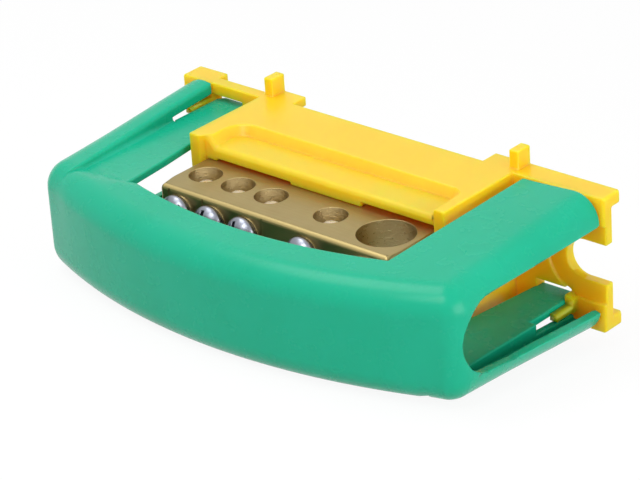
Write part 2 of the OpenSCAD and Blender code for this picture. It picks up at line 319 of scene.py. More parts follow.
scratches, entry, leave = new_group(
    "fine_scratches",
    {"Along": ("NodeSocketVector", (1, 1, 1)), "Fineness": ("NodeSocketFloat", 1.0)},
    {"Lines": "NodeSocketFloat", "Blotches": "NodeSocketFloat"})
place = add(scratches, "ShaderNodeTexCoord").outputs["Object"]
stretched = add(scratches, "ShaderNodeVectorMath", {0: place, 1: entry.outputs["Along"]},
                operation="MULTIPLY")
lines = add(scratches, "ShaderNodeTexNoise",
            {"Vector": stretched.outputs[0], "Scale": entry.outputs["Fineness"], "Detail": 5.0,
             "Roughness": 0.65})
stain = add(scratches, "ShaderNodeTexNoise", {"Vector": place, "Scale": STAIN_SCALE, "Detail": 4.0})
fill(scratches, leave, {"Lines": lines.outputs["Fac"], "Blotches": stain.outputs["Fac"]})
print("group", scratches.name, "with", len(scratches.nodes), "nodes")

# %% [markdown]
# A metal shows what it mirrors. Its upright faces look at another part of the tent than its level ones,
# so each metal takes a second colour there, a painted reflection mixed in by the way the surface faces.

# %% Brass and zinc
LEVEL_Z, UPRIGHT_Z = 0.98, 0.8
SMOOTHER, ROUGHER = 0.06, 0.1


def worked_metal(name, colour, stain, side, along, fineness, gloss, groove_mm):
    """A metal with scratches along one direction, faint stains, and a painted reflection on its upright
    sides.
    """
    material, tree, shader = new_material(name)
    marks = add(tree, "ShaderNodeGroup", {"Along": along, "Fineness": fineness}, node_tree=scratches)
    tint = add(tree, "ShaderNodeMix", {"Factor": marks.outputs["Blotches"], "A": screen_colour(*colour),
                                       "B": screen_colour(*stain)}, data_type="RGBA")
    facing = add(tree, "ShaderNodeSeparateXYZ", {0: add(tree, "ShaderNodeNewGeometry").outputs["Normal"]})
    # Painted reflection: faces that stand upright take the side colour in place of the metal's own colour.
    upright = add(tree, "ShaderNodeMapRange",
                  {"Value": facing.outputs["Z"], "From Min": LEVEL_Z, "From Max": UPRIGHT_Z})
    painted_reflection = add(tree, "ShaderNodeMix", {"Factor": upright.outputs[0], "A": tint.outputs["Result"],
                                        "B": screen_colour(*side)}, data_type="RGBA")
    rough = add(tree, "ShaderNodeMapRange",
                {"Value": marks.outputs["Lines"], "From Min": 0.3, "From Max": 0.7,
                 "To Min": gloss - SMOOTHER, "To Max": gloss + ROUGHER})
    bump = add(tree, "ShaderNodeBump",
               {"Height": marks.outputs["Lines"], "Distance": groove_mm * MM, "Strength": 1.0})
    fill(tree, shader, {"Base Color": painted_reflection.outputs["Result"], "Roughness": rough.outputs[0],
                        "Normal": bump.outputs["Normal"], "Metallic": 1.0})
    print(name, [round(c, 3) for c in screen_colour(*colour)[:3]])
    return material


# Each side colour below is a painted reflection for the upright faces, such as the bar's front and the
# heads.
brass = worked_metal(
    "drawn_brass", colour=(172, 155, 107), stain=(158, 140, 93), side=(174, 156, 104),
    along=(0.05, 1, 1), fineness=2600.0, gloss=0.4, groove_mm=0.005)
# The hole walls' colours are painted lighter, painted light against the shade in the holes, besides the
# drilled rings.
drilled_brass_painted_light = worked_metal(
    "drilled_brass_painted_light", colour=(206, 186, 140), stain=(150, 131, 88), side=(196, 175, 128),
    along=(0.4, 0.4, 1), fineness=3600.0, gloss=0.3, groove_mm=0.13)
zinc = worked_metal(
    "plated_zinc", colour=(160, 162, 172), stain=(146, 148, 159), side=(138, 141, 151),
    along=(1, 1, 1), fineness=1400.0, gloss=0.3, groove_mm=0.0003)
# Near white: a painted highlight for the screw tips that show in the wire holes.
shank_highlight_zinc = worked_metal(
    "shank_highlight_zinc", colour=(248, 248, 250), stain=(236, 236, 240), side=(248, 248, 250),
    along=(1, 1, 1), fineness=1400.0, gloss=0.3, groove_mm=0.001)

# %% [markdown]
# ## Turning a bmesh into a piece
# Every piece ends the same way: the mesh becomes an object at the origin, smooth, with its materials, and
# it is told which body it rides on, while the CAD node it stands in for is hidden. Weighted normals keep
# large faces flat beside their small rounded edges. No real edge is sharp, so a second helper rounds the
# edges that turn sharply enough, out of those that a piece chooses.


def finish_piece(shape, name, node, *materials):
    """Makes the object for a finished bmesh, in place of one CAD node and riding on that node's body."""
    made = link_object(shape, name)
    for material in materials:
        made.data.materials.append(material)
    made.data.shade_smooth()
    made.modifiers.new("flat_faces", "WEIGHTED_NORMAL").keep_sharp = True
    body = frame["nodes"][node]["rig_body"]
    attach(made, body)
    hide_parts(node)
    print(name, "has", len(made.data.polygons), "faces and rides on", body)


def soften(shape, chosen, width, segments, sharp):
    """Rounds the chosen edges that turn by more than the given degrees."""
    edges = [e for e in shape.edges
             if len(e.link_faces) == 2 and e.calc_face_angle(0) > math.radians(sharp) and chosen(e)]
    bmesh.ops.bevel(shape, geom=edges, offset=width * MM, offset_type="OFFSET", segments=segments,
                    profile=0.5, affect="EDGES", clamp_overlap=False, material=-1)
    print("rounded", len(edges), "edges by", width, "mm")


def edge_middle(edge):
    """The point halfway along an edge."""
    return (edge.verts[0].co + edge.verts[1].co) / 2


# %% [markdown]
# ## The cover
# The green cover is one moulded shell: a front bowed in plan, ball corners, a flange with the wire window,
# and a snap tongue that sinks below the strip beside it. A boolean of solids would leave facets, so it is
# drawn as a moulder would think of it: the outline seen from above is carried up the wall and over the
# rounded edge, the flange is extruded back from there, and a half turn about Y makes the lower half. Its
# form comes first, as a few functions: the front's bow, and the top face, which falls to the front, is a
# little skewed there, and spreads at its rear corners.

# %% Cover form
COVER_L, COVER_D, EDGE_R, WALL = 85.6, 48.3, 4.5, 1.3
FRONT_R, FLANGE_W, REAR_Z, DRAFT, SKEW, FLARE = 102, 8.8, 11.5, 5.1, 0.5, 0.2
SPREAD, SPREAD_Y, SPREAD_RUN_Y, SPREAD_X, SPREAD_RUN_X = 0.6, -30, 26, 28, 14
corner_x = COVER_L / 2 - EDGE_R
bow_r, window_r, bow_centre = FRONT_R - EDGE_R, FRONT_R - FLANGE_W, FRONT_R - COVER_D
slope, lift = DRAFT / 2 / COVER_D, SKEW / 2 / corner_x


def bow(x, radius):
    """The y of an arc about the bow's centre."""
    return bow_centre - math.sqrt(radius * radius - x * x)


corner_y = bow(corner_x, bow_r)


def smooth_step(value):
    """0 below 0, 1 above 1, and a soft rise between."""
    value = min(max(value, 0), 1)
    return value * value * (3 - 2 * value)


def top_height(x, y):
    """Height of the cover's top face: it falls to the front, skewed there, and spreads at the rear."""
    spread = (SPREAD * smooth_step((y - SPREAD_Y) / SPREAD_RUN_Y)
              * smooth_step((abs(x) - SPREAD_X) / SPREAD_RUN_X))
    return REAR_Z + slope * y + lift * x * min(y / corner_y, 1) + spread


def end_x(y):
    """Where the rounded edge of an end is centred: the ends stand out a little more at the back."""
    return corner_x + FLARE * (1 - y / corner_y)


print("top of the cover at", REAR_Z, "mm behind and", round(top_height(0, -COVER_D), 2), "mm in front")

# %% [markdown]
# The shell is a net of rows and stations. Stations lie along the outline, closer where the window's corners
# and the split beside the tongue are. Rows run across the flange and back along the plates and strips.
# The net could be made fine all over and cut later; lines laid where the shape needs them keep it light.

# %% Rows and stations
COVER_BACK, SPLIT_X, SPLIT_Y = -4.5, 36.6, -14.2
WINDOW_LEFT, WINDOW_RIGHT = -26.06, 27.12
FLANGE_ROWS, PLATE_ROWS = (0.25, 0.5, 0.75, 0.9, 1.0), (-26, -20, SPLIT_Y)
STRIP_ROWS = (COVER_BACK - 1.2, COVER_BACK - 0.5, COVER_BACK)
FRONT_HALF, FRONT_STEPS = 23.4, 10


def flange_row(x, share):
    """A line between the rounded edge, share 0, and the window's front edge, share 1."""
    return bow(x, bow_r) + share * (bow(x, window_r) - bow(x, bow_r))


flange_depths = [flange_row(corner_x, share) for share in FLANGE_ROWS]
wall_rows = [*reversed(PLATE_ROWS + STRIP_ROWS), *reversed(flange_depths), corner_y]
sides = [SPLIT_X, 34.6, 32.2, 29.6, WINDOW_RIGHT, -WINDOW_LEFT]
middle_stations = [x * FRONT_HALF / FRONT_STEPS for x in range(-FRONT_STEPS, FRONT_STEPS + 1)]
front_stations = [-x for x in sides] + middle_stations + sides[::-1] + [corner_x]
print(len(wall_rows), "rows along an end and", len(front_stations), "stations along the front")

# %% [markdown]
# Each vertex of the outline carries notes in layers of the bmesh: where its rounded edge is centred, which
# way is out, and which part of the cover it belongs to. Extruding copies the notes, so every later vertex
# knows its station. At the split a station is a whole section of the step: its bends run from -1 at the top
# to 2 at the foot.

# %% Notes on the outline
WALL_PART, CORNER_PART, FRONT_PART, FIELD_PART, STEP_PART = 0, 1, 2, 3, 4
STRIP_BENDS, TONGUE_BENDS = (-1, -0.75, -0.5, -0.25, 0, 0.5), (1, 1.25, 1.5, 1.75, 2)

cover = bmesh.new()
centre_of = cover.verts.layers.float_vector.new("centre")
outward_of = cover.verts.layers.float_vector.new("outward")
part_of = cover.verts.layers.int.new("part")
bend_of = cover.verts.layers.float.new("bend")
rounding_of = cover.verts.layers.float_vector.new("rounding")
sharp_of = cover.verts.layers.float_vector.new("sharp")


def station(vert, x, y, outward, part):
    """Notes on a vertex of the outline where its rounded edge is centred and which way is out."""
    vert[centre_of] = at(x, y, top_height(x, y) - EDGE_R)
    vert[outward_of] = outward
    vert[part_of] = part


def onward(vert):
    """Extrudes the outline by one vertex."""
    return bmesh.ops.extrude_vert_indiv(cover, verts=[vert])["verts"][0]


def swing(vert, centre, angle):
    """Spins the outline's last vertex round a centre."""
    made = bmesh.ops.spin(cover, geom=[vert], cent=centre, axis=(0, 0, 1), angle=angle, steps=1)
    return next(g for g in made["geom_last"] if isinstance(g, bmesh.types.BMVert))


print("step section of", len(STRIP_BENDS + TONGUE_BENDS), "bends")


# %% Outline
def along_wall(tip, side, rows):
    """The straight outline of one end."""
    for y in rows:
        tip = onward(tip) if tip else cover.verts.new((0, 0, 0))
        tip.co = at(side * (end_x(y) + EDGE_R), y, 0)
        station(tip, side * end_x(y), y, Vector((side, 0, 0)), WALL_PART)
    return tip


def round_corner(tip, side, first, last, steps=8):
    """The outline's rounded corner."""
    for step in range(1, steps + 1):
        angle = first + (last - first) * step / steps
        tip = swing(tip, at(side * corner_x, corner_y, 0), (last - first) / steps)
        outward = Vector((math.cos(angle), math.sin(angle), 0))
        station(tip, side * corner_x, corner_y, outward, CORNER_PART)
    return tip


bow_angle = math.asin(corner_x / bow_r)
tip = along_wall(None, -1, wall_rows)
tip = round_corner(tip, -1, math.pi, 1.5 * math.pi - bow_angle)
tip[part_of] = FRONT_PART
previous = -corner_x
for x in front_stations:
    turned = math.asin(x / bow_r)
    tip = swing(tip, at(0, bow_centre, 0), turned - math.asin(previous / bow_r))
    outward = Vector((math.sin(turned), -math.cos(turned), 0))
    station(tip, x, bow(x, bow_r), outward, FIELD_PART if -SPLIT_X < x <= WINDOW_LEFT else FRONT_PART)
    for bend in STRIP_BENDS + TONGUE_BENDS if x == -SPLIT_X else ():
        tip = onward(tip) if bend > STRIP_BENDS[0] else tip
        station(tip, x, bow(x, bow_r), outward, STEP_PART)
        tip[bend_of] = bend
    previous = x
tip = round_corner(tip, 1, 1.5 * math.pi + bow_angle, 2 * math.pi)
tip = along_wall(tip, 1, list(reversed(wall_rows))[1:])
print("outline of", len(cover.verts), "stations, ending at", [round(v / MM, 1) for v in tip.co])

# %% [markdown]
# The sunken field over a tongue lies level while the cover's top slopes, so the step beside it grows to the
# back. At its front it rises in a soft ramp: far out over the rounded edge on its outer side, right at the
# window's edge on its inner side. One function gives how far below the top face each point of the field
# lies. The step itself has a rounded top, a rib's straight side and a rounded foot. It is drawn with sharp
# corners, which take an even wall later, and each vertex notes how far its rounded place is from there.

# %% Sunken field
TONGUE_Z, RIB, STEP_R, STEP_LEAN = 8.4, 2.05, 0.8, 0.03
RAMP_START, RAMP_START_SHIFT, RAMP_END, RAMP_END_SHIFT = 3.0, 3.6, 8.4, 7.0
FOOT_SHARE, FOOT_RUN = 0.3, 6


def sink(x, y):
    """How far the field lies below the cover's top face."""
    inward = (x + SPLIT_X) / (WINDOW_LEFT + SPLIT_X)
    ahead = bow(x, window_r) - y
    ramp_start, ramp_end = RAMP_START - RAMP_START_SHIFT * inward, RAMP_END - RAMP_END_SHIFT * inward
    return (top_height(x, y) - TONGUE_Z) * (1 - smooth_step((ahead - ramp_start) / (ramp_end - ramp_start)))


def step_section(bend, depth, y):
    """A point of the step's section, bend -1 at its top to 2 at its foot: sharp, and rounded."""
    top_r = min(STEP_R, depth / 2)
    foot_r = top_r * (FOOT_SHARE + (1 - FOOT_SHARE) * smooth_step((SPLIT_Y - y) / FOOT_RUN))
    if bend <= 0:
        angle = (1 + bend) * math.pi / 2
        sharp = min(2 * bend + 1, 0) * top_r, -max(2 * bend + 1, 0) * top_r
        smooth = (math.sin(angle) - 1) * top_r, (math.cos(angle) - 1) * top_r
    elif bend < 1:
        sharp = smooth = 0, -min(max(RIB, top_r), depth - foot_r)
    else:
        angle = (bend - 1) * math.pi / 2
        sharp = max(2 * bend - 3, 0) * foot_r, max(3 - 2 * bend, 0) * foot_r - depth
        smooth = (1 - math.cos(angle)) * foot_r, (1 - math.sin(angle)) * foot_r - depth
    return Vector((sharp[0], 0, sharp[1])) * MM, Vector((smooth[0], 0, smooth[1])) * MM


def place_vert(vert, point):
    """Puts a vertex at a point of the top, or sunk below it in the field and on the step beside it."""
    vert.co = point
    x, y = point.x / MM, (point.y - mounting_plane) / MM
    if vert[part_of] == FIELD_PART:
        vert.co.z -= MM * sink(x, y)
    if vert[part_of] == STEP_PART:
        lean = Vector((STEP_LEAN * max(SPLIT_Y - y, 0) * MM, 0, 0))
        sharp, smooth = step_section(vert[bend_of], sink(x, y), y)
        vert.co += sharp + lean
        vert[rounding_of] = smooth - sharp


print("field sinks", round(sink(-SPLIT_X, SPLIT_Y), 2), "mm beside the strip at the split")

# %% [markdown]
# The outline is extruded once for the wall, and then over the rounded edge, a quarter turn in small steps.
# A bevel would give one radius about one line; here the edge's centre rises and falls with the top face,
# so each vertex goes out from its own centre along its own spoke.

# %% Walls and rounded edge
EDGE_STEPS = 10


def grow(edges):
    """Extrudes edges and gives back the new vertices and edges."""
    made = bmesh.ops.extrude_edge_only(cover, edges=edges)["geom"]
    fresh = {g for g in made if isinstance(g, bmesh.types.BMVert)}
    return fresh, [g for g in made if isinstance(g, bmesh.types.BMEdge) and set(g.verts) <= fresh]


ring = list(cover.edges)
for step in range(EDGE_STEPS + 1):
    angle = step / EDGE_STEPS * math.pi / 2
    fresh, ring = grow(ring)
    for vert in fresh:
        spoke = vert[outward_of] * math.cos(angle) + Vector((0, 0, math.sin(angle)))
        place_vert(vert, vert[centre_of] + spoke * EDGE_R * MM)
print("wall and rounded edge:", len(cover.faces), "faces")

# %% [markdown]
# From the rounded edge the top face is carried back row by row. Its first rows keep the front's bow as far
# as the wire window. Behind them only the plates beside the window go on, and their columns fan with its
# sides. At the split the left plate parts again, into the strip and the snap tongue, each with an edge of
# its own.

# %% Columns of the top face
NEAR = 0.01
WINDOW_FRONT, WINDOW_RUN, FAN_START = -40.8, 41.8, -30
LEFT_FRONT, LEFT_FAN, RIGHT_FRONT, RIGHT_FAN = -25.5, 5, 26.9, 1.8


def home(vert):
    """The x of the front station that a vertex was extruded from."""
    return vert[centre_of].x / MM


def window_side(y):
    """The window's left and right side at a given depth."""
    back = y - WINDOW_FRONT
    return LEFT_FRONT - LEFT_FAN * back / WINDOW_RUN, RIGHT_FRONT + RIGHT_FAN * back / WINDOW_RUN


def column(x, y):
    """Where a column of the flange has got to at a given depth: the columns fan with the window's sides."""
    if abs(x) > corner_x - NEAR:
        return math.copysign(end_x(y), x)
    if y < FAN_START:
        return x
    left, right = window_side(y)
    if x < 0:
        return -SPLIT_X + (x + SPLIT_X) * (left + SPLIT_X) / (WINDOW_LEFT + SPLIT_X)
    return corner_x - (corner_x - x) * (corner_x - right) / (corner_x - WINDOW_RIGHT)


def extend(edges, depth_of, shift=0):
    """Extrudes edges of the top face back to a new depth, and shifts their edge at the split."""
    fresh, ahead = grow(edges)
    for vert in fresh:
        x = home(vert)
        y = depth_of(x)
        across = column(x, y)
        if abs(x + SPLIT_X) < NEAR:
            across += shift
        place_vert(vert, at(across, y, top_height(across, y)))
    return ahead


print("window at its back in mm:", [round(x, 1) for x in window_side(COVER_BACK)])

# %% Flange, plates and tongue
STRIP_SHIFTS = (0, 0, -0.15)
TONGUE_ROWS = ((-13.9, -0.35), (-9, -0.35), (-5, -0.35), (-3.4, -0.35), (-2.4, 0.65))


def beside_window(edge):
    """Does an edge lie to the left or to the right of the wire window?"""
    return any(all(low - NEAR <= home(v) <= high + NEAR for v in edge.verts)
               for low, high in ((-corner_x, WINDOW_LEFT), (WINDOW_RIGHT, corner_x)))


def on_tongue(vert):
    """Does a vertex go on into the tongue: the field, and the end of the step's foot?"""
    return vert[part_of] == FIELD_PART or vert[part_of] == STEP_PART and vert[bend_of] == TONGUE_BENDS[-1]


def on_strip(vert):
    """Does a vertex go on into a strip: all but the field and the step's foot?"""
    on_foot = vert[part_of] == STEP_PART and vert[bend_of] >= TONGUE_BENDS[0]
    return vert[part_of] != FIELD_PART and not on_foot


row = [e for e in ring if all(v[part_of] >= FRONT_PART for v in e.verts)]
for share in FLANGE_ROWS:
    row = extend(row, lambda x: flange_row(x, share))
row = [e for e in row if beside_window(e)]
for y in PLATE_ROWS:
    row = extend(row, lambda x: y)

tongue_row = [e for e in row if all(on_tongue(v) for v in e.verts)]
strip_row = [e for e in row if all(on_strip(v) for v in e.verts)]
for y, shift in zip(STRIP_ROWS, STRIP_SHIFTS):
    strip_row = extend(strip_row, lambda x: y, shift)
for y, shift in TONGUE_ROWS:
    tongue_row = extend(tongue_row, lambda x: y, shift)
print("upper half:", len(cover.faces), "faces")

# %% [markdown]
# The cover looks the same after half a turn about Y, so one half is enough to draw. A mirror would put both
# tongues on the same side; a copy turned by half a turn puts the lower one on the right.
# The halves are merged where they meet, and the faces are made to point outwards before they get a wall.

# %% Lower half
STEP_WELD, SEAM_WELD, SHORT_EDGE = 0.08 * MM, 0.004 * MM, 0.01 * MM

twin = bmesh.ops.duplicate(cover, geom=cover.verts[:] + cover.edges[:] + cover.faces[:])["geom"]
twin_verts = [g for g in twin if isinstance(g, bmesh.types.BMVert)]
half_turn = Matrix.Rotation(math.pi, 3, "Y")
bmesh.ops.rotate(cover, verts=twin_verts, cent=(0, 0, 0), matrix=half_turn)
for vert in twin_verts:
    vert[rounding_of] = half_turn @ vert[rounding_of]
step_verts = [v for v in cover.verts if v[part_of] == STEP_PART]
bmesh.ops.remove_doubles(cover, verts=step_verts, dist=STEP_WELD)
bmesh.ops.remove_doubles(cover, verts=cover.verts, dist=SEAM_WELD)
bmesh.ops.dissolve_degenerate(cover, edges=cover.edges, dist=SHORT_EDGE)
bmesh.ops.recalc_face_normals(cover, faces=cover.faces)
front_face = min(cover.faces, key=lambda f: f.calc_center_median().y)
if front_face.normal.y > 0:
    bmesh.ops.reverse_faces(cover, faces=cover.faces)
print("both halves:", len(cover.faces), "faces, open edges:", sum(e.is_boundary for e in cover.edges))

# %% [markdown]
# Each end has an opening with a round front whose edges run out to the back. A boolean would leave the
# shell's net in splinters, so flat cuts across the end wall, one along each side of the opening's outline,
# split the faces, and those inside the outline are deleted.

# %% End openings
END_TOP, END_LOW, END_FLARE, END_D, PAST_BACK = 6.9, 5.5, 9.8, 37.6, 5
ROUND_STEPS, END_CLEAR, CUT_MARGIN, CUT_SNAP, RIM_WELD = 20, 0.02, 0.1, 0.002 * MM, 0.3 * MM
end_wall_x = (corner_x + END_CLEAR) * MM
end_r, end_z = (END_TOP + END_LOW) / 2, (END_TOP - END_LOW) / 2
end_y = -END_D + end_r
round_angles = [math.pi * i / ROUND_STEPS for i in range(ROUND_STEPS + 1)]
round_front = [(end_y - end_r * math.sin(a), end_z + end_r * math.cos(a)) for a in round_angles]
outline = [(PAST_BACK, END_TOP), *round_front, (PAST_BACK, -END_FLARE)]
outline_sides = list(zip(outline, outline[1:]))


def inside(point, side):
    """Is a point of an end wall inside the opening's outline?"""
    y, z = (point.y - mounting_plane) / MM, side * point.z / MM
    return all((b[0] - a[0]) * (z - a[1]) - (b[1] - a[1]) * (y - a[0]) > 0 for a, b in outline_sides)


def end_faces(side):
    """The faces of one end wall."""
    return [f for f in cover.faces if all(v.co.x * side > end_wall_x for v in f.verts)]


def reaches(face, low, high):
    """Does a face reach between two corners, in depth and in height?"""
    corners = [v.co for v in face.verts]
    return all(any(c[axis] > low[axis] for c in corners) and any(c[axis] < high[axis] for c in corners)
               for axis in (1, 2))


for side in (1, -1):
    for (y0, z0), (y1, z1) in outline_sides:
        low = at(0, min(y0, y1) - CUT_MARGIN, min(side * z0, side * z1) - CUT_MARGIN)
        high = at(0, max(y0, y1) + CUT_MARGIN, max(side * z0, side * z1) + CUT_MARGIN)
        near = [f for f in end_faces(side) if reaches(f, low, high)]
        near_edges = (e for f in near for e in f.edges)
        near_verts = (v for f in near for v in f.verts)
        cut = dict.fromkeys([*near, *near_edges, *near_verts])
        bmesh.ops.bisect_plane(cover, geom=list(cut), dist=CUT_SNAP, plane_co=at(0, y0, side * z0),
                               plane_no=Vector((0, -(side * z1 - side * z0), y1 - y0)).normalized())
    hole = [f for f in end_faces(side) if inside(f.calc_center_median(), side)]
    bmesh.ops.delete(cover, geom=hole, context="FACES")
    print("end opening", side, "took", len(hole), "faces out")
rim_verts = [v for v in cover.verts if v.is_boundary and abs(v.co.x) > end_wall_x]
bmesh.ops.remove_doubles(cover, verts=rim_verts, dist=RIM_WELD)
bmesh.ops.dissolve_degenerate(cover, edges=cover.edges, dist=SEAM_WELD)

# %% [markdown]
# A moulded shell has one wall thickness, so the sheet is given its wall inward. Only then does the step's
# outer side take its rounded places. Every rim is softly rounded as the mould's parting edges are; the rims
# of the end openings meet at narrow angles, where a wide bevel would fold over itself, so theirs is finer.

# %% Wall thickness and rims
STILL, WALL_WELD, RIM_R, END_RIM_R = 0.001 * MM, 0.002 * MM, 0.3, 0.12
FADE_HALF, FADE_FRONT = 1.6 * MM, mounting_plane - 33 * MM
END_RIM_X, END_RIM_Z, END_RIM_BACK = 40.5 * MM, 9.9 * MM, mounting_plane - 4.6 * MM

for vert in cover.verts:
    vert[sharp_of] = vert.co
bmesh.ops.solidify(cover, geom=cover.faces[:], thickness=WALL * MM)
for vert in cover.verts:
    if vert[part_of] == STEP_PART and (vert.co - vert[sharp_of]).length < STILL:
        vert.co += vert[rounding_of]
bmesh.ops.remove_doubles(cover, verts=cover.verts, dist=WALL_WELD)


def end_rim(edge):
    """A rim of one of the end openings."""
    in_opening = all(abs(v.co.x) > END_RIM_X and abs(v.co.z) < END_RIM_Z and v.co.y < END_RIM_BACK
                     for v in edge.verts)
    return edge.is_convex and in_opening


def other_rim(edge):
    """A rim that is high enough to be rounded: not the step where it fades out over the edge."""
    middle = edge_middle(edge)
    fading = abs(abs(middle.x) - SPLIT_X * MM) < FADE_HALF and middle.y < FADE_FRONT
    return edge.is_convex and not fading and not end_rim(edge)


soften(cover, other_rim, width=RIM_R, segments=3, sharp=50)
soften(cover, end_rim, width=END_RIM_R, segments=2, sharp=50)
finish_piece(cover, "green_cover", "cover", green_plastic)

# %% [markdown]
# ## The support
# The yellow support is already right in the CAD model, but with knife-sharp edges. Drawing it anew would
# gain nothing, so a copy of its mesh is merged and its flat faces are joined. To one side of its middle
# each lip comes down closer to the bar, so its corners are lowered there. Steps too thin to be rounded are
# marked with a seam and stay sharp.

# %% Support
MESH_WELD, FLAT_TURN, TINY_EDGE, THIN_STEP = 0.002 * MM, math.radians(0.5), 0.1 * MM, 0.3 * MM
LIP_UNDER, LIP_SAG, LIP_HALF, TOUCH = 8.2 * MM, 0.35 * MM, 26 * MM, 0.01 * MM

support = bmesh.new()
support.from_mesh(frame["nodes"]["base"].data)
bmesh.ops.remove_doubles(support, verts=support.verts, dist=MESH_WELD)
bmesh.ops.dissolve_limit(support, angle_limit=FLAT_TURN, use_dissolve_boundaries=False, verts=support.verts,
                         edges=support.edges, delimit=set())
bmesh.ops.dissolve_degenerate(support, dist=TINY_EDGE, edges=support.edges)
under_lip = [v for v in support.verts if abs(abs(v.co.z) - LIP_UNDER) < TOUCH and abs(v.co.x) < LIP_HALF]
low_lip = [v for v in under_lip if v.co.x * v.co.z < 0]
for vert in low_lip:
    vert.co.z -= math.copysign(LIP_SAG, vert.co.z)
print("lowered", len(low_lip), "of", len(under_lip), "corners under the lips")
for face in support.faces:
    if face.calc_area() < THIN_STEP * max(e.calc_length() for e in face.edges):
        for edge in face.edges:
            edge.seam = True
            edge.smooth = False
print(sum(e.seam for e in support.edges), "edges beside thin steps stay sharp")

# %% [markdown]
# The edges are rounded as a moulding's are. The lip over the bar is the edge that fingers meet, so it gets
# the largest radius, and the plate's ends the next, apart from the slot's seat, which is too shallow.
# All other edges share a small one. The guide posts are too small even for that and keep their edges.

# %% Support edges
LIP_R, END_R, MOULD_R, END_ZONE = 0.9, 0.45, 0.25, 0.05 * MM
HOLDER_FRONT, LIP_FLOOR, IN_PLANE = at(0, -20.5, 0).y, 9.5 * MM, 0.02 * MM
SEAT, SEAT_DEPTH, LONG_EDGE = at(0, -3.9, 0).y, 0.3 * MM, 1.6 * MM
POST_INNER, POST_OUTER, POST_LOW = 36.6 * MM, 39.4 * MM, 2.5 * MM
POST_BACK = mounting_plane - 3.6 * MM
plate_end = max(v.co.x for v in support.verts) - END_ZONE


def on_lip(edge):
    """An edge of the holder's front above the bar, or below in the other half."""
    return all(abs(v.co.y - HOLDER_FRONT) < IN_PLANE and abs(v.co.z) > LIP_FLOOR for v in edge.verts)


def on_end(edge):
    """A long edge of the plate's ends, away from the slot's shallow seat."""
    a, b = (v.co for v in edge.verts)
    on_seat = any(abs(v.co.y - SEAT) < SEAT_DEPTH for v in edge.verts)
    is_long = max(abs(a.z - b.z), abs(a.y - b.y)) > LONG_EDGE
    return all(abs(v.co.x) > plate_end for v in edge.verts) and is_long and not on_seat


def by_guide_post(edge):
    """An edge of a guide post or of the slot's seat beside it."""
    middle = edge_middle(edge)
    outward = -middle.x if middle.z > 0 else middle.x
    return POST_INNER < outward < POST_OUTER and abs(middle.z) > POST_LOW and middle.y < POST_BACK


def elsewhere(edge):
    """An edge that takes the general radius."""
    return not edge.seam and not by_guide_post(edge) and not on_lip(edge)


soften(support, on_lip, width=LIP_R, segments=5, sharp=35)
soften(support, on_end, width=END_R, segments=4, sharp=60)
soften(support, elsewhere, width=MOULD_R, segments=3, sharp=35)
finish_piece(support, "yellow_support", "base", yellow_plastic)

# %% [markdown]
# ## Turning and drilling
# The bar and the screws are metal parts made by turning and drilling. The same two moves make them here:
# a lathe helper spins a profile round an axis, and a carve helper cuts closed tools out of a closed shape.

# %% Lathe and carve helpers
SCREWS = ("small_screw_1", "small_screw_2", "small_screw_3", "small_screw_4", "large_screw")
METAL_WELD = 0.001 * MM


def lathe(shape, middle, profile, segments=48):
    """Spins a profile of (radius, y) pairs, in millimetres, round an axis along Y through a point."""
    verts = [shape.verts.new(middle + Vector((0, y, radius)) * MM) for radius, y in profile]
    edges = [shape.edges.new(pair) for pair in zip(verts, verts[1:])]
    bmesh.ops.spin(shape, geom=verts + edges, cent=middle, axis=(0, 1, 0), angle=2 * math.pi,
                   steps=segments, use_merge=True)
    bmesh.ops.remove_doubles(shape, verts=shape.verts, dist=METAL_WELD)
    bmesh.ops.recalc_face_normals(shape, faces=shape.faces)
    return shape


def carve(shape, *tools):
    """Cuts each closed tool out of a closed shape and gives back the carved shape."""
    stock = link_object(shape, "stock")
    cutters = [link_object(tool, "tool") for tool in tools]
    for cutter in cutters:
        cut = stock.modifiers.new("cut", "BOOLEAN")
        cut.operation, cut.solver, cut.object = "DIFFERENCE", "EXACT", cutter
    carved = bmesh.new()
    carved.from_object(stock, bpy.context.evaluated_depsgraph_get())
    for used in (stock, *cutters):
        mesh = used.data
        bpy.data.objects.remove(used)
        bpy.data.meshes.remove(mesh)
    bmesh.ops.remove_doubles(carved, verts=carved.verts, dist=METAL_WELD)
    return carved


def on_axis(node, y):
    """The point of a screw's axis at a given y."""
    low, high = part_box(node)
    middle = (low + high) / 2
    middle.y = y
    return middle


print("screw axes at x in mm:", [round(on_axis(node, 0).x / MM, 2) for node in SCREWS])

# %% [markdown]
# ## The brass bar
# The bar is a length of drawn brass with its front edges rolled over. A cube scaled to the CAD node's box
# takes these edges first, while it has few of them: the upright corners, the front edges, then the rest.

# %% Bar stock
CORNER_R, ROLLED_R, REAR_R = 0.6, 0.9, 0.2
FRONT_ZONE, REAR_ZONE, TALL = 0.7 * MM, 1.7 * MM, 1 * MM
bar_low, bar_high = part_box("terminal_bar")

bar = bmesh.new()
bmesh.ops.create_cube(bar, size=1)
bmesh.ops.scale(bar, verts=bar.verts, vec=bar_high - bar_low)
bmesh.ops.translate(bar, verts=bar.verts, vec=(bar_low + bar_high) / 2)


def climb(edge):
    """How far an edge goes up."""
    return abs(edge.verts[0].co.z - edge.verts[1].co.z)


def on_bar_front(edge):
    """A level edge at the bar's front."""
    return all(v.co.y < bar_low.y + FRONT_ZONE for v in edge.verts) and climb(edge) < TOUCH


def behind_bar_front(edge):
    """An edge clear of the rolled front."""
    return all(v.co.y > bar_low.y + REAR_ZONE for v in edge.verts)


soften(bar, lambda e: climb(e) > TALL, width=CORNER_R, segments=4, sharp=80)
soften(bar, on_bar_front, width=ROLLED_R, segments=6, sharp=80)
soften(bar, behind_bar_front, width=REAR_R, segments=2, sharp=80)
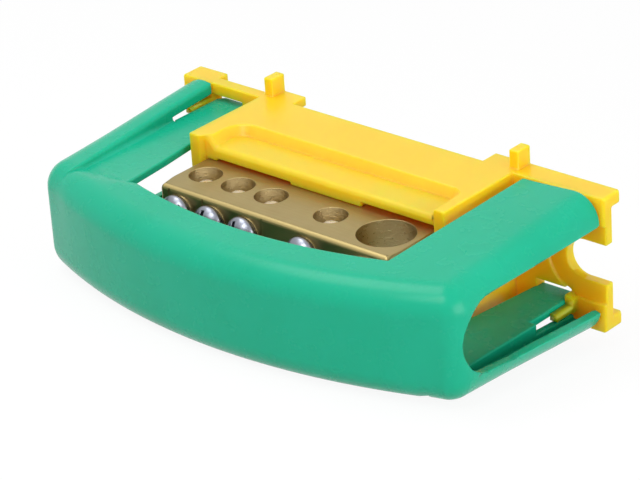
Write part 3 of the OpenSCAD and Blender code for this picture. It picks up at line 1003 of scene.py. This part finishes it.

# %% [markdown]
# The bar is drilled from above for the wires and from the front for the screws, and a saw has left three
# marks on its front. All tools of one kind are joined in one mesh, so three cuts do the work. The wire
# holes get a fine deburred rim, and their walls the drilled rings, in a lighter colour that is painted
# light against the shade inside the holes.

# %% Drilled holes and saw marks
HOLE_IN, SMALL_HOLE, LARGE_HOLE, DRILL = 6.5, 5.5, 9.4, 20
THREAD_HOLE, LARGE_THREAD_HOLE, BEFORE_FRONT = 5.2, 4.3, -1
SAW_MARKS, SAW_MARK, SAW_RISE = (-21.6, -14.4, -2.0), Vector((0.3, 0.4, 6.5)), 3.1
DEBURR = 0.06

wire_drills, screw_drills, wire_holes = bmesh.new(), bmesh.new(), []
for node in SCREWS:
    large = node == "large_screw"
    place = on_axis(node, bar_low.y)
    centre = place + Vector((0, HOLE_IN * MM, 0))
    radius = (LARGE_HOLE if large else SMALL_HOLE) / 2 * MM
    bmesh.ops.create_cone(wire_drills, cap_ends=True, segments=72, depth=DRILL * MM, radius1=radius,
                          radius2=radius, matrix=Matrix.Translation(centre))
    wire_holes.append((centre, radius))
    bore = (LARGE_THREAD_HOLE if large else THREAD_HOLE) / 2
    lathe(screw_drills, place, ((0, BEFORE_FRONT), (bore, BEFORE_FRONT), (bore, HOLE_IN), (0, HOLE_IN)))
saw_marks = bmesh.new()
for x in SAW_MARKS:
    mark = bmesh.ops.create_cube(saw_marks, size=1)["verts"]
    bmesh.ops.scale(saw_marks, verts=mark, vec=SAW_MARK * MM)
    bmesh.ops.translate(saw_marks, verts=mark, vec=Vector((x * MM, bar_low.y, bar_low.z + SAW_RISE * MM)))
bar = carve(bar, wire_drills, screw_drills, saw_marks)


def on_level_face(edge):
    """An edge in the bar's top or bottom face."""
    return any(all(abs(v.co.z - z) < TOUCH for v in edge.verts) for z in (bar_low.z, bar_high.z))


def in_wire_hole(face):
    """Is a face part of a wire hole's wall?"""
    middle = face.calc_center_median()
    return any(math.hypot(middle.x - hole.x, middle.y - hole.y) < radius + IN_PLANE
               for hole, radius in wire_holes)


soften(bar, on_level_face, width=DEBURR, segments=2, sharp=60)
# Wire hole walls take the lighter brass, painted light against their shade.
for face in bar.faces:
    face.material_index = int(in_wire_hole(face))
finish_piece(bar, "brass_bar", "terminal_bar", brass, drilled_brass_painted_light)

# %% [markdown]
# ## The clamp screws
# Round-headed screws with a cross recess, turned and plated. Seen from the front only their domes show; in
# the wire holes their plain tips do. The large one has no head. The thread is drawn as rings, which looks
# the same at this size as a helix and closes by itself.

# %% Screw profiles
HEAD_R, DOME, HEAD, HEAD_CHAMFER, DOME_STEPS = 2.85, 1.7, 2.3, 0.12, 12
THREAD_R, THREAD_DEPTH, PITCH, THREAD_GAP = 2.55, 0.32, 0.8, 0.3
TIP = ((0, 2.2), (0, 0.95), (0.13, 0.5), (0.45, 0))
FRONT_CHAMFER, TIP_CHAMFER = 0.4, 0.5


def thread(start, end, radius):
    """A profile that zigzags from one y to another."""
    turns = max(1, round((end - start) / PITCH))
    step = (end - start) / turns
    return [point for i in range(turns)
            for point in ((radius - THREAD_DEPTH, start + step * i), (radius, start + step * (i + 0.5)))]


def headed_profile(length):
    """A small screw: domed head, thread, and a tip given as (narrower by, distance from the end) pairs."""
    ball = (HEAD_R * HEAD_R + DOME * DOME) / (2 * DOME)
    angles = [math.asin(HEAD_R / ball) * i / DOME_STEPS for i in range(DOME_STEPS + 1)]
    dome = [(ball * math.sin(a), ball * (1 - math.cos(a))) for a in angles]
    tip = [(THREAD_R - narrower, length - short) for narrower, short in TIP]
    return [*dome, (HEAD_R, HEAD - HEAD_CHAMFER), (HEAD_R - HEAD_CHAMFER, HEAD), (THREAD_R, HEAD),
            *thread(HEAD + THREAD_GAP, length - TIP[0][1], THREAD_R), *tip, (0, length)]


def headless_profile(length, radius):
    """The large screw: thread from end to end."""
    return [(0, 0), (radius - FRONT_CHAMFER, 0), *thread(THREAD_GAP, length - THREAD_GAP, radius),
            (radius - TIP_CHAMFER, length), (0, length)]


print("heads", 2 * HEAD_R, "mm across on threads", 2 * THREAD_R, "mm across")

# %% [markdown]
# Each head is turned on the lathe and its recess is carved by two crossed arms. The screws were driven home
# by feel, so each cross stands at its own angle. Behind the head the plating is painted near white, a
# painted highlight for the tips that show in the wire holes.

# %% Clamp screws
CROSS_TURNS = dict(zip(SCREWS, (45, 83, 73, 45, 30)))
SMALL_ARM, LARGE_ARM_SHARE, LARGE_ARM = (5.3, 0.85, 2.0), 1.4, (0.8, 1.2)
ARM_TAPER, RECESS_ZONE, RECESS_R = (0.9, 1, 0.7), 1.2 * MM, 0.05


def cross_tool(place, turn, length, width, depth):
    """One arm of the cross recess, narrower at its bottom, to be carved out of a head at a place."""
    arm = bmesh.new()
    bmesh.ops.create_cube(arm, size=1)
    bmesh.ops.scale(arm, verts=arm.verts, vec=Vector((length, 2 * depth, width)) * MM)
    bottom = [v for v in arm.verts if v.co.y > 0]
    bmesh.ops.scale(arm, verts=bottom, vec=ARM_TAPER)
    turned = Matrix.Rotation(math.radians(turn), 3, "Y")
    bmesh.ops.rotate(arm, verts=arm.verts, cent=(0, 0, 0), matrix=turned)
    bmesh.ops.translate(arm, verts=arm.verts, vec=place)
    return arm


for node, turn in CROSS_TURNS.items():
    low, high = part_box(node)
    place, length = on_axis(node, low.y), (high.y - low.y) / MM
    if node == "large_screw":
        radius = (high.x - low.x) / 2 / MM
        profile, arm = headless_profile(length, radius), (radius * LARGE_ARM_SHARE, *LARGE_ARM)
    else:
        profile, arm = headed_profile(length), SMALL_ARM
    arms = [cross_tool(place, angle, *arm) for angle in (turn, turn + 90)]
    screw = carve(lathe(bmesh.new(), place, profile, segments=64), *arms)
    soften(screw, lambda e: all(v.co.y < low.y + RECESS_ZONE for v in e.verts),
           width=RECESS_R, segments=2, sharp=35)
    # Everything behind the head takes the near-white zinc, a painted highlight.
    for face in screw.faces:
        face.material_index = int(face.calc_center_median().y > low.y + HEAD * MM)
    finish_piece(screw, node.replace("screw", "clamp_screw"), node, zinc, shank_highlight_zinc)
